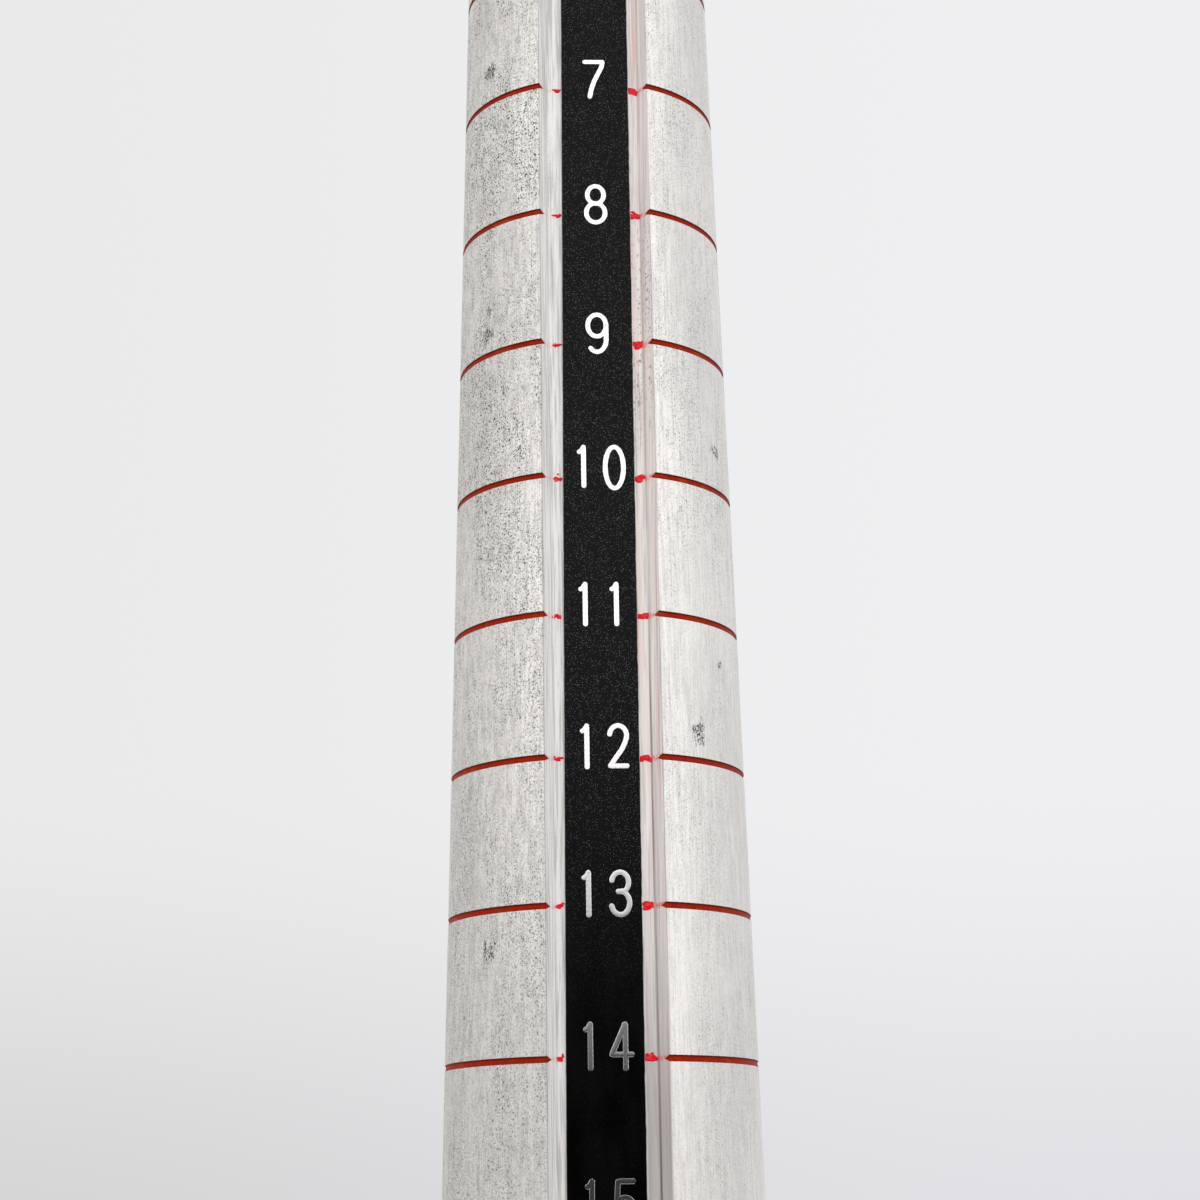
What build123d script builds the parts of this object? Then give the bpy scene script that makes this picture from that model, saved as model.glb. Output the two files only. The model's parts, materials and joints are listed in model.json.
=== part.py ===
from build123d import *

import os
from math import hypot

# A ring mandrel: a turned aluminium taper on which a finger ring stops at its size.
# It stands on the butt of its handle, with the small end up along +Z. The number strip
# faces -Y, and the origin is the centre of the butt face. All lengths are in millimetres.

# The gauge scale. A ring of a given size has its inner diameter at that size's line.
size_count = 30
size_step = 8.0
first_diameter = 13.0
diameter_step = 1 / 3
tip_margin = 10.0
base_margin = 8.0

# The handle and the collar between it and the taper.
handle_length = 96.0
collar_thickness = 4.0
collar_radius = 13.2
butt_radius = 13.0
butt_land_top = 12.0
front_land_radius = 12.7
grip_radius = 12.6
grip_end_radius = 11.6
flute_count = 10
flute_floor_radius = 11.85
flute_tool_radius = 4.0

# The tang of the rod inside the handle, and the screw that holds it.
tang_radius = 6.0
tang_flat = 5.0
tang_bottom = 28.0
fit_gap = 0.03
screw_radius = 2.5
screw_length = 30.0
screw_head_radius = 4.25
screw_head_height = 5.0
socket_across_flats = 4.0
socket_depth = 2.5
clearance_hole_radius = 2.75
tapped_depth = 22.0
web_thickness = 8.0
washer_thickness = 1.0
spring_washer_thickness = 1.2

# The slot in the taper: a flat floor between two sloping walls.
slot_depth = 1.5
slot_floor_half = 2.66
slot_wall_slope = 0.6
slot_edge_round = 0.06

# The number strip on its adhesive film. It is laid by hand and bows a little in the
# slot, so each edge is a curve through where it lies at these sizes.
strip_thickness = 0.25
strip_end_gap = 1.0
strip_edge_round = 0.05
strip_sizes = (6, 10, 15, 22)
strip_left_edge = (-1.78, -2.01, -2.27, -2.40)
strip_right_edge = (2.11, 2.03, 1.92, 1.95)
adhesive_thickness = 0.08
adhesive_inset = 0.15

# The numerals, printed in raised ink. Every stroke is a line of one width.
ink_thickness = 0.05
stroke_width = 0.31
numeral_half_height = 1.13
numeral_half_width = 0.54
numeral_rise = 0.66
numeral_offset = 0.86

# The turned size lines, V notches with paint lying in them.
notch_depth = 0.45
notch_half_width = 0.16
paint_recess = 0.2

# The moulded plug that closes the screw well in the butt.
well_radius = 5.5
plug_radius = 8.0
plug_rim = 2.2
plug_recess = 0.3
plug_skirt_top = 9.0
plug_wall = 1.2

base_z = handle_length + collar_thickness
last_line_z = base_z + base_margin
tip_z = last_line_z + (size_count - 1) * size_step + tip_margin
taper = diameter_step / 2 / size_step
web_bottom = tang_bottom - web_thickness
head_seat_z = web_bottom - washer_thickness - spring_washer_thickness


def line_z(size):
    """Height of the line of a size."""
    return last_line_z + (size_count - size) * size_step


def radius_at(z):
    """Radius of the taper at a height."""
    return (first_diameter + diameter_step * (size_count - 1)) / 2 - taper * (z - last_line_z)


def up_the_floor(size):
    """Distance from the base of the taper to the line of a size, along its slope."""
    return (line_z(size) - base_z) * hypot(1, taper)


def numeral_centre(size):
    """Middle of the number strip at a size, on straight runs between the given sizes."""
    low = 0
    while low < len(strip_sizes) - 2 and size > strip_sizes[low + 1]:
        low += 1
    share = (size - strip_sizes[low]) / (strip_sizes[low + 1] - strip_sizes[low])
    share = min(max(share, 0), 1)
    start = (strip_left_edge[low] + strip_right_edge[low]) / 2
    end = (strip_left_edge[low + 1] + strip_right_edge[low + 1]) / 2
    return start + share * (end - start)


def save(part, label):
    """Names a finished piece and writes its STEP file."""
    part.label = label
    export_step(part, f"parts/{label}.step")


os.makedirs("parts", exist_ok=True)

# The slot's cross-section above the tip. It is cut along the slope of the taper, so that
# its floor keeps the same depth under the crown of the taper all the way.
slot_start_z = tip_z + 5
slot_crown = radius_at(slot_start_z)
slot_top_half = slot_floor_half + 2 * slot_depth * slot_wall_slope
slot_run = (slot_start_z - base_z + 1) * hypot(1, taper)
down_the_taper = (0, -taper, -1)
with BuildSketch(Plane.XY.offset(slot_start_z)) as slot_section:
    with BuildLine():
        Polyline(
            (-slot_floor_half, -slot_crown + slot_depth),
            (slot_floor_half, -slot_crown + slot_depth),
            (slot_top_half, -slot_crown - slot_depth),
            (-slot_top_half, -slot_crown - slot_depth),
            close=True,
        )
    make_face()

# The tang's section, round with one flat so that the handle cannot turn on it.
with BuildSketch(Plane.XY.offset(tang_bottom)) as tang_section:
    Circle(tang_radius)
    with Locations((0, tang_flat + tang_radius)):
        Rectangle(4 * tang_radius, 2 * tang_radius, mode=Mode.SUBTRACT)

# The rod: taper, tang and slot in one turned and milled piece.
tip_chamfer = 0.8
base_chamfer = 0.3
centre_hole_radius = 1.6
centre_hole_depth = 2.4
with BuildPart() as rod:
    with BuildSketch(Plane.XZ):
        with BuildLine():
            Polyline(
                (0, base_z),
                (radius_at(base_z) - base_chamfer, base_z),
                (radius_at(base_z + base_chamfer), base_z + base_chamfer),
                (radius_at(tip_z - tip_chamfer), tip_z - tip_chamfer),
                (radius_at(tip_z) - tip_chamfer, tip_z),
                (centre_hole_radius, tip_z),
                (0, tip_z - centre_hole_depth),
                close=True,
            )
        make_face()
    revolve(axis=Axis.Z)
    extrude(slot_section.sketch, amount=slot_run, dir=down_the_taper, mode=Mode.SUBTRACT)
    slot_edges = (
        rod.edges()
        .filter_by(lambda e: e.length > 0.8 * (tip_z - base_z))
        .filter_by(lambda e: abs(e.center().X) > slot_floor_half + 0.2)
    )
    fillet(slot_edges, radius=slot_edge_round)
    extrude(tang_section.sketch, amount=base_z - tang_bottom)
    with BuildSketch(Plane.XY.offset(tang_bottom)):
        Circle(screw_radius + fit_gap)
    extrude(amount=tapped_depth, mode=Mode.SUBTRACT)
    with BuildSketch(Plane.XZ):
        for size in range(1, size_count + 1):
            z = line_z(size)
            r = radius_at(z)
            with BuildLine():
                Polyline(
                    (r - notch_depth, z),
                    (r + notch_depth, z + 2 * notch_half_width),
                    (r + notch_depth, z - 2 * notch_half_width),
                    close=True,
                )
            make_face()
    revolve(axis=Axis.Z, mode=Mode.SUBTRACT)
save(rod.part, "mandrel_rod")

# The paint: a thin fill in every notch, open at the slot.
with BuildPart() as paint:
    with BuildSketch(Plane.XZ):
        for size in range(1, size_count + 1):
            z = line_z(size)
            r = radius_at(z)
            half = notch_half_width * (1 - paint_recess / notch_depth)
            with BuildLine():
                Polyline(
                    (r - notch_depth, z),
                    (r - paint_recess, z + half),
                    (r - paint_recess, z - half),
                    close=True,
                )
            make_face()
    revolve(axis=Axis.Z)
    extrude(slot_section.sketch, amount=slot_run, dir=down_the_taper, mode=Mode.SUBTRACT)
save(paint.part, "scale_line_paint")

# The strip and its adhesive lie on the slot's floor. In this plane x runs across the
# slot and y runs up the slope from the base of the taper.
floor_plane = Plane(
    origin=(0, -(radius_at(base_z) - slot_depth), base_z),
    x_dir=(1, 0, 0),
    z_dir=(0, -1, taper),
)
strip_low = strip_end_gap
strip_high = (tip_z - base_z - strip_end_gap) * hypot(1, taper)


def draw_strip(inset):
    """Closed outline of the strip, drawn smaller by an inset on every side."""
    left = [(x + inset, up_the_floor(n)) for x, n in zip(strip_left_edge, strip_sizes)]
    right = [(x - inset, up_the_floor(n)) for x, n in zip(strip_right_edge, strip_sizes)]
    low = strip_low + inset
    high = strip_high - inset
    Polyline(left[0], (left[0][0], high), (right[0][0], high), right[0])
    Spline(*left, tangents=((0, -1), (0, -1)))
    Spline(*right, tangents=((0, -1), (0, -1)))
    Polyline(left[-1], (left[-1][0], low), (right[-1][0], low), right[-1])


with BuildPart() as adhesive:
    with BuildSketch(floor_plane):
        with BuildLine():
            draw_strip(adhesive_inset)
        make_face()
    extrude(amount=adhesive_thickness)
save(adhesive.part, "strip_adhesive")

with BuildPart() as strip:
    with BuildSketch(floor_plane.offset(adhesive_thickness)):
        with BuildLine():
            draw_strip(0)
        make_face()
    extrude(amount=strip_thickness)
    chamfer(strip.faces().sort_by(Axis.Y)[0].edges(), length=strip_edge_round)
save(strip.part, "number_strip")

# The ten digits, each drawn round its own centre as the middle lines of its strokes.
h = numeral_half_height
w = numeral_half_width
bowl = w + 0.05
with BuildLine() as zero:
    CenterArc((0, h - w), w, 0, 180)
    Line((-w, h - w), (-w, w - h))
    CenterArc((0, w - h), w, 180, 180)
    Line((w, w - h), (w, h - w))
with BuildLine() as one:
    Polyline((-0.4, h - 0.4), (0, h), (0, -h))
with BuildLine() as two:
    CenterArc((0, h - w), w, 170, -205)
    Line((0.9 * w, h - 1.5 * w), (-bowl, -h))
    Line((-bowl, -h), (bowl, -h))
with BuildLine() as three:
    CenterArc((0, h - w), w, 160, -240)
    CenterArc((0, bowl - h), bowl, 80, -230)
with BuildLine() as four:
    Polyline((0.12, -h), (0.12, h), (-0.65, -0.45), (0.55, -0.45))
with BuildLine() as five:
    Polyline((0.45, h), (-0.4, h), (-0.5, -0.1))
    ThreePointArc((-0.5, -0.1), (bowl, -0.4), (-bowl, -0.85))
with BuildLine() as six:
    CenterArc((0, bowl - h), bowl, 0, 180)
    CenterArc((0, bowl - h), bowl, 180, 180)
    ThreePointArc((-bowl, bowl - h), (-0.25, 0.6), (0.45, h))
with BuildLine() as seven:
    Line((-w, h), (w, h))
    ThreePointArc((w, h), (0, -0.16), (-0.24, -h))
with BuildLine() as eight:
    CenterArc((0, h - w), w, 90, 180)
    CenterArc((0, h - w), w, 270, 180)
    CenterArc((0, bowl - h), bowl, 90, 180)
    CenterArc((0, bowl - h), bowl, 270, 180)
with BuildLine() as nine:
    CenterArc((0, h - bowl), bowl, 0, 180)
    CenterArc((0, h - bowl), bowl, 180, 180)
    ThreePointArc((bowl, h - bowl), (0.25, -0.6), (-0.45, -h))
digits = [zero, one, two, three, four, five, six, seven, eight, nine]

# Ink along those lines, as one rounded slot for each stroke.
inked_digits = []
for digit in digits:
    with BuildSketch() as inked:
        for stroke in digit.edges():
            SlotArc(stroke, stroke_width)
    inked_digits.append(inked.sketch)

# The numerals stand on the strip, a little above their lines. The two digits of a larger
# size stand side by side.
ink_plane = floor_plane.offset(adhesive_thickness + strip_thickness)
with BuildPart() as numerals:
    for size in range(1, size_count + 1):
        text = str(size)
        first_x = numeral_centre(size) - numeral_offset * (len(text) - 1)
        for place, character in enumerate(text):
            x = first_x + 2 * numeral_offset * place
            with BuildSketch(ink_plane):
                with Locations((x, up_the_floor(size) + numeral_rise)):
                    add(inked_digits[int(character)])
    extrude(amount=ink_thickness)
save(numerals.part, "size_numerals")

# The collar: a turned ring on the tang, the stop between the taper and the handle.
collar_round = 1.2
with BuildPart() as collar:
    with BuildSketch(Plane.XY.offset(handle_length)):
        Circle(collar_radius)
        Circle(tang_radius + fit_gap, mode=Mode.SUBTRACT)
    extrude(amount=collar_thickness)
    fillet(
        collar.edges().filter_by(GeomType.CIRCLE).group_by(SortBy.RADIUS)[-1],
        radius=collar_round,
    )
save(collar.part, "handle_collar")

# The handle: a moulded grip with a swelling between two lands, and shallow flutes.
land_round = 2.5
swell_z = 52.0
swell_bottom = 18.0
swell_top = 84.0
front_land_bottom = 89.0
end_round = 0.8
with BuildPart() as grip:
    with BuildSketch(Plane.XZ) as grip_section:
        with BuildLine():
            Polyline(
                (grip_end_radius, swell_bottom),
                (butt_radius, butt_land_top),
                (butt_radius, 0),
                (0, 0),
                (0, handle_length),
                (front_land_radius, handle_length),
                (front_land_radius, front_land_bottom),
                (grip_end_radius, swell_top),
            )
            ThreePointArc(
                (grip_end_radius, swell_top),
                (grip_radius, swell_z),
                (grip_end_radius, swell_bottom),
            )
        make_face()
        corners = grip_section.vertices().filter_by(lambda v: v.X > grip_end_radius - 1)
        inner_ends = corners.filter_by(lambda v: butt_land_top - 1 < v.Z < front_land_bottom + 1)
        fillet(inner_ends, radius=land_round)
        outer_ends = grip_section.vertices().filter_by(
            lambda v: v.X > grip_end_radius and (v.Z < 0.1 or v.Z > handle_length - 0.1)
        )
        fillet(outer_ends, radius=end_round)
    revolve(axis=Axis.Z)
    flute_centre = flute_floor_radius + flute_tool_radius
    with BuildSketch(Plane.XY.offset(swell_bottom + 2)):
        with PolarLocations(flute_centre, flute_count):
            Circle(flute_tool_radius)
    extrude(amount=swell_top - swell_bottom - 4, mode=Mode.SUBTRACT)
    with BuildSketch(Plane.XY.offset(tang_bottom)):
        Circle(tang_radius + fit_gap)
        with Locations((0, tang_flat + fit_gap + tang_radius)):
            Rectangle(4 * tang_radius, 2 * tang_radius, mode=Mode.SUBTRACT)
    extrude(amount=handle_length - tang_bottom, mode=Mode.SUBTRACT)
    with BuildSketch(Plane.XY):
        Circle(plug_radius + fit_gap)
    extrude(amount=plug_recess + plug_rim, mode=Mode.SUBTRACT)
    with BuildSketch(Plane.XY):
        Circle(well_radius)
    extrude(amount=web_bottom, mode=Mode.SUBTRACT)
    with BuildSketch(Plane.XY):
        Circle(clearance_hole_radius)
    extrude(amount=tang_bottom, mode=Mode.SUBTRACT)
save(grip.part, "handle_grip")

# The screw, up through the web of the handle into the tang.
with BuildPart() as screw:
    with BuildSketch(Plane.XY.offset(head_seat_z - screw_head_height)):
        Circle(screw_head_radius)
    extrude(amount=screw_head_height)
    chamfer(screw.edges().group_by(Axis.Z)[0], length=0.4)
    with BuildSketch(Plane.XY.offset(head_seat_z)):
        Circle(screw_radius)
    extrude(amount=screw_length)
    chamfer(screw.edges().group_by(Axis.Z)[-1], length=0.8)
    with BuildSketch(Plane.XY.offset(head_seat_z - screw_head_height)):
        RegularPolygon(socket_across_flats / 2, 6, major_radius=False)
    extrude(amount=socket_depth, mode=Mode.SUBTRACT)
save(screw.part, "handle_screw")

with BuildPart() as spring_washer:
    with BuildSketch(Plane.XY.offset(head_seat_z)):
        Circle(screw_head_radius)
        Circle(screw_radius + 0.1, mode=Mode.SUBTRACT)
        with Locations((screw_head_radius, 0)):
            Rectangle(2 * screw_head_radius, 0.6, mode=Mode.SUBTRACT)
    extrude(amount=spring_washer_thickness)
save(spring_washer.part, "spring_washer")

with BuildPart() as washer:
    with BuildSketch(Plane.XY.offset(web_bottom - washer_thickness)):
        Circle(well_radius - 0.5)
        Circle(clearance_hole_radius, mode=Mode.SUBTRACT)
    extrude(amount=washer_thickness)
save(washer.part, "plain_washer")

# The plug: a rim in the butt's recess and a hollow skirt in the screw well.
with BuildPart() as plug:
    with BuildSketch(Plane.XY.offset(plug_recess)):
        Circle(plug_radius)
    extrude(amount=plug_rim)
    chamfer(plug.edges().group_by(Axis.Z)[0], length=0.3)
    with BuildSketch(Plane.XY.offset(plug_recess + plug_rim)):
        Circle(well_radius - fit_gap)
        Circle(well_radius - plug_wall, mode=Mode.SUBTRACT)
    extrude(amount=plug_skirt_top - plug_recess - plug_rim)
save(plug.part, "butt_plug")

print("total length", tip_z, "base diameter", 2 * radius_at(base_z), "tip", 2 * radius_at(tip_z))
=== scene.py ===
# %% [markdown]
# # A ring mandrel, finished in Blender
#
# A jeweller slides a finger ring down this tapered stick and reads its size where it
# stops. The real one is an aluminium taper with red lines turned into it, a slot along
# one face, a black number strip lying in the slot, and a handle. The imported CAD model
# gives the sizes and places of all its pieces. This lesson gives them their surfaces.

# %% Load the frame
import json
import math

import bpy
import numpy as np
from mathutils import Matrix, Vector

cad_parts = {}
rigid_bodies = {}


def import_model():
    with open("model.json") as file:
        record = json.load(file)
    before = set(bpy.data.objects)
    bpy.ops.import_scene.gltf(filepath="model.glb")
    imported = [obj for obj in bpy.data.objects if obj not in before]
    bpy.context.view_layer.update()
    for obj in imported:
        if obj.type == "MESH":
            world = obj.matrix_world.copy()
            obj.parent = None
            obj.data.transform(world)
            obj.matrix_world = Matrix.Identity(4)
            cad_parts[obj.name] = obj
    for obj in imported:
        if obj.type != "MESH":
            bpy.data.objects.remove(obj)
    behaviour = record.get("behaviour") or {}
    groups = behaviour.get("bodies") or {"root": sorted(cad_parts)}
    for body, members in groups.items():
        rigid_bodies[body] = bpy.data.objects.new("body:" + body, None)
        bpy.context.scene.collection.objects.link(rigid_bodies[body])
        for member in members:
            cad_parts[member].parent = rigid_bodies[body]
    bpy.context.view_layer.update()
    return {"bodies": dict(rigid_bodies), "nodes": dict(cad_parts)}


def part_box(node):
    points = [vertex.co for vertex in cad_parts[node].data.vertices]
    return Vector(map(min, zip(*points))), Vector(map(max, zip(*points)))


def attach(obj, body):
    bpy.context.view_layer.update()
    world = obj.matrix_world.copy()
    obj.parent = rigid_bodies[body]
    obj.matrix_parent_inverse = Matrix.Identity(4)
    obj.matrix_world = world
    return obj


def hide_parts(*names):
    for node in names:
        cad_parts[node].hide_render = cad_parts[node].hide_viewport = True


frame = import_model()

# %% [markdown]
# ## The sizes that every piece shares
#
# The taper is a gauge, so everything follows from its scale. Size 1 is 13 mm across, and
# each size after it is a third of a millimetre more and 8 mm further down. The ends of
# the taper and of the handle are read from the frame, so they can't drift from the CAD.

# %% The scale and the taper
MM = 0.001
BODY = next(iter(frame["bodies"]))
SIZE_COUNT = 30
SIZE_STEP = 8 * MM
TAPER = 1 / 48
BASE_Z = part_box("handle_collar")[1].z
TIP_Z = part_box("mandrel_rod")[1].z
LAST_LINE_Z = BASE_Z + 8 * MM
LAST_RADIUS = (13 + 29 / 3) / 2 * MM
SLOT_DEPTH = 1.5 * MM
SLOT_FLOOR_HALF = 2.66 * MM
SLOT_WALL_SLOPE = 0.6


def line_z(size):
    """Height of a size's line: one step up for each size below the largest."""
    return LAST_LINE_Z + (SIZE_COUNT - np.asarray(size)) * SIZE_STEP


def taper_radius(z):
    """The taper's radius at a height: it falls by 1 mm in every 48 mm."""
    return LAST_RADIUS - TAPER * (np.asarray(z) - LAST_LINE_Z)


print("lines from", float(line_z(30)), "to", float(line_z(1)), "base and tip", BASE_Z, TIP_Z)

# %% [markdown]
# ## One way to make every surface
#
# Each piece here is a stack of closed rings: the rod is its cross-section carried along
# its length, and a numeral's stroke is a small cross-section carried along the stroke.
# So one helper turns an array of rings into a mesh. It joins each ring to the next with
# four-sided faces, and closes the two ends with a fan round a middle point, or joins the
# last ring to the first for a piece with a hole through it.

# %% Faces between rings and across an end


def ring_faces(rows, columns, looped):
    """Quads between neighbouring rings. Corner (i, j) is point i * columns + j."""
    row = np.arange(rows if looped else rows - 1)[:, None]
    column = np.arange(columns)[None, :]
    beside = (column + 1) % columns
    above = (row + 1) % rows
    corners = [row * columns + column, row * columns + beside, above * columns + beside,
               above * columns + column]
    return np.stack(corners, axis=-1).reshape(-1, 4)


def fan_faces(ring, middle, outward):
    """Triangles from each side of a ring to one middle point.

    outward is True for the first ring of a stack and False for the last.
    """
    following = np.roll(ring, -1)
    around = (following, ring) if outward else (ring, following)
    return np.stack([around[0], around[1], np.full_like(ring, middle)], axis=-1)


print("quads on a tube of 3 rings of 8 points:", len(ring_faces(3, 8, False)))

# %% [markdown]
# A piece may have many stacks, such as one for each stroke. A value at each point, such as
# how far it is into the slot, goes into the mesh as an attribute, and a finish can read it.

# %% From rings to a piece


def build_piece(name, stacks, material, stands_for=(), values=None, sharp=35, looped=False):
    """Mesh of one or more stacks of rings, each an array of rings by points by 3.

    values holds, for each named attribute, one array of rings by points for each stack.
    looped says whether each stack's last ring joins its first. An edge stays sharp where
    its faces turn by more than sharp degrees.
    """
    points = []
    faces = []
    extras = {key: [] for key in values or {}}
    first = 0
    for index, rings in enumerate(stacks):
        rows, columns = rings.shape[:2]
        corners = rings.reshape(-1, 3)
        quads = ring_faces(rows, columns, looped)
        fans = np.empty((0, 3), int)
        for key, arrays in (values or {}).items():
            extras[key].append(arrays[index].reshape(-1))
        if not looped:
            corners = np.concatenate([corners, [rings[0].mean(axis=0), rings[-1].mean(axis=0)]])
            bottom_ring = np.arange(columns)
            top_ring = bottom_ring + (rows - 1) * columns
            fans = np.concatenate([fan_faces(bottom_ring, rows * columns, True),
                                   fan_faces(top_ring, rows * columns + 1, False)])
            for key, arrays in (values or {}).items():
                extras[key].append(np.array([arrays[index][0].mean(), arrays[index][-1].mean()]))
        points.append(corners)
        faces.extend((quads + first).tolist())
        faces.extend((fans + first).tolist())
        first += len(corners)
    mesh = bpy.data.meshes.new(name)
    mesh.from_pydata(np.concatenate(points).tolist(), [], faces)
    for key, arrays in extras.items():
        carried = mesh.attributes.new(key, "FLOAT", "POINT")
        carried.data.foreach_set("value", np.concatenate(arrays).astype(np.float32))
    mesh.shade_smooth()
    mesh.set_sharp_from_angle(angle=math.radians(sharp))
    mesh.materials.append(material)
    piece = bpy.data.objects.new(name, mesh)
    bpy.context.scene.collection.objects.link(piece)
    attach(piece, BODY)
    if stands_for:
        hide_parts(*stands_for)
    print(f"{name}: {len(mesh.vertices)} points, {len(mesh.polygons)} faces")


# %% [markdown]
# ## Small helpers for materials
#
# A finish is a network of nodes. Writing each node on one line, with its inputs in a
# dictionary, keeps the network readable. An input is either a number or the output of
# another node. All patterns read Object coordinates, which here are metres on the real
# piece, so a scale of 8000 means a grain about an eighth of a millimetre wide.

# %% Node helpers


def add_node(tree, kind, inputs=None, **settings):
    """A node of a kind, with its settings made and its inputs set or linked."""
    node = tree.nodes.new(kind)
    for key, value in settings.items():
        setattr(node, key, value)
    for key, value in (inputs or {}).items():
        if isinstance(value, bpy.types.NodeSocket):
            tree.links.new(value, node.inputs[key])
        else:
            node.inputs[key].default_value = value
    return node


def new_finish(name, shader_values):
    """A material with one Principled shader, its fixed values set on the shader itself."""
    material = bpy.data.materials.new(name)
    material.use_nodes = True
    tree = material.node_tree
    shader = tree.nodes["Principled BSDF"]
    for key, value in shader_values.items():
        shader.inputs[key].default_value = value
    place = add_node(tree, "ShaderNodeTexCoord").outputs["Object"]
    return material, tree, shader, place


print("node helpers ready")

# %% [markdown]
# Patterns come next. Noise gives grain and streaks, a Map Range node picks out part of it
# with soft ends, and a Voronoi pattern gives round dots.

# %% Pattern helpers


def grain(tree, place, scale, detail=2.0, seed=0.0):
    """Noise whose cells are 1 / scale metres long on each axis, from 0 to 1 about 0.5."""
    spread = add_node(tree, "ShaderNodeMapping", {"Vector": place, "Location": (seed,) * 3,
                                                  "Scale": scale})
    inputs = {"Vector": spread.outputs["Vector"], "Scale": 1.0, "Detail": detail}
    return add_node(tree, "ShaderNodeTexNoise", inputs).outputs["Fac"]


def between(tree, value, low, high, start=0.0, end=1.0):
    """Turns low..high into start..end with soft ends, and holds outside them."""
    inputs = {"Value": value, "From Min": low, "From Max": high, "To Min": start, "To Max": end}
    return add_node(tree, "ShaderNodeMapRange", inputs,
                    interpolation_type="SMOOTHSTEP").outputs["Result"]


def up_the_scale(tree, height, first, last, start, end):
    """Turns the heights from one size's line up to a smaller size's into start..end."""
    return between(tree, height, float(line_z(first)), float(line_z(last)), start, end)


def combine(tree, operation, *values):
    """A sum, product or other operation on two or more values, from left to right."""
    total = values[0]
    for value in values[1:]:
        node = add_node(tree, "ShaderNodeMath", {0: total, 1: value}, operation=operation)
        total = node.outputs["Value"]
    return total


def distance(tree, value, middle):
    """How far a value is from a middle, whichever side it is on."""
    apart = combine(tree, "SUBTRACT", value, middle)
    return add_node(tree, "ShaderNodeMath", {0: apart}, operation="ABSOLUTE").outputs["Value"]


def split_axes(tree, vector):
    """The X, Y and Z of a vector, each by its letter."""
    return add_node(tree, "ShaderNodeSeparateXYZ", {0: vector}).outputs


def dots(tree, place, cell, reach, kept):
    """Round dots: one in each cell of a size in metres, for the share of cells kept.

    reach is a dot's radius as a share of its cell.
    """
    cells = add_node(tree, "ShaderNodeTexVoronoi", {"Vector": place, "Scale": 1 / cell}).outputs
    chance = split_axes(tree, cells["Color"])["X"]
    chosen = between(tree, chance, 1 - kept - 0.05, 1 - kept + 0.05)
    return combine(tree, "MULTIPLY", chosen,
                   between(tree, cells["Distance"], 0.5 * reach, reach, 1.0, 0.0))


print("a grain of scale 8000 is", 1 / 8000 / MM, "mm wide")

# %% [markdown]
# The last helpers put patterns to use: one colour over another, a bump that stands for a
# real depth, and a value that the mesh carries.

# %% Colour and relief helpers


def blend_colours(tree, share, first, second):
    """first where share is 0, second where it is 1."""
    node = add_node(tree, "ShaderNodeMix", data_type="RGBA")
    for index, value in ((0, share), (6, first), (7, second)):
        if isinstance(value, bpy.types.NodeSocket):
            tree.links.new(value, node.inputs[index])
        else:
            node.inputs[index].default_value = value
    return node.outputs[2]


def relief(tree, shader, height, depth, strength=1.0):
    """Bump of a height from 0 to 1 that stands for a depth in metres."""
    inputs = {"Height": height, "Distance": depth, "Strength": strength}
    bump = add_node(tree, "ShaderNodeBump", inputs).outputs["Normal"]
    tree.links.new(bump, shader.inputs["Normal"])


def attribute(tree, name):
    """A value that the mesh carries, such as how far into the slot a point is."""
    return add_node(tree, "ShaderNodeAttribute", attribute_name=name).outputs["Fac"]


print("colour helpers ready")

# %% [markdown]
# ## The aluminium of the rod
#
# The rod was drawn, turned and rubbed down, so it is satin rather than shiny, with fine
# streaks along its length. Years of rings sliding over it have left dark pits and
# smudges on the outside, while the slot, which nothing rubs, keeps the bright, ruled
# look of the tool that drew it. One metal shader can do both: the mesh carries how far
# each point is into the slot, and that value picks between the two looks. The first
# values say where the wear is, most on the left and more up the taper, and where painted
# shade dulls the metal lower down.

# %% Aluminium, where it is worn, and where shade is painted
BRIGHT_METAL = (0.90, 0.88, 0.855, 1)
DULL_METAL = (0.44, 0.43, 0.42, 1)
aluminium, tree, shader, place = new_finish(
    "drawn_aluminium", {"Metallic": 1.0, "Base Color": BRIGHT_METAL, "Roughness": 0.5})
in_slot = attribute(tree, "in_slot")
on_edge = attribute(tree, "on_edge")
across_rod = split_axes(tree, place)["X"]
up_rod = split_axes(tree, place)["Z"]
outside = combine(tree, "SUBTRACT", 1.0, in_slot)
right_side = combine(tree, "MULTIPLY", between(tree, across_rod, 1.9 * MM, 2.1 * MM), in_slot)
handled_side = between(tree, across_rod, -6 * MM, 3 * MM, 1.0, 0.40)
handled_end = combine(tree, "MULTIPLY", handled_side,
                      up_the_scale(tree, up_rod, 12, 9.5, 1.0, 1.6))
# painted shade: the outside is made duller towards size 15, more on the left
painted_low_shade = combine(tree, "MULTIPLY", up_the_scale(tree, up_rod, 15, 11, 0.25, 0.0),
                 between(tree, across_rod, -4 * MM, 4 * MM, 1.0, 0.3))
# painted shade: the right side of the slot is made duller from size 12.6 downwards
painted_slot_shade = combine(tree, "MULTIPLY", up_the_scale(tree, up_rod, 14.6, 12.6, 0.75, 0.0),
                      right_side)
print("places of wear:", len(tree.nodes), "nodes")

# %% [markdown]
# Noise is stretched to make each kind of mark. A scale that is large round the rod and
# small along it gives the streaks of drawing. Equal scales give the grain of rubbing, and
# a leaning coordinate frame gives the scratches that rings leave as they are turned.

# %% The grains of the metal


def slanted_grain(tree, place, cell, lean):
    """Noise with cells of a size in metres, leaning sideways by an angle in radians."""
    spread = add_node(tree, "ShaderNodeMapping", {"Vector": place, "Rotation": (0, lean, 0),
                                                  "Scale": cell}, vector_type="TEXTURE")
    inputs = {"Vector": spread.outputs["Vector"], "Scale": 1.0, "Detail": 2.0}
    return add_node(tree, "ShaderNodeTexNoise", inputs).outputs["Fac"]


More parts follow.
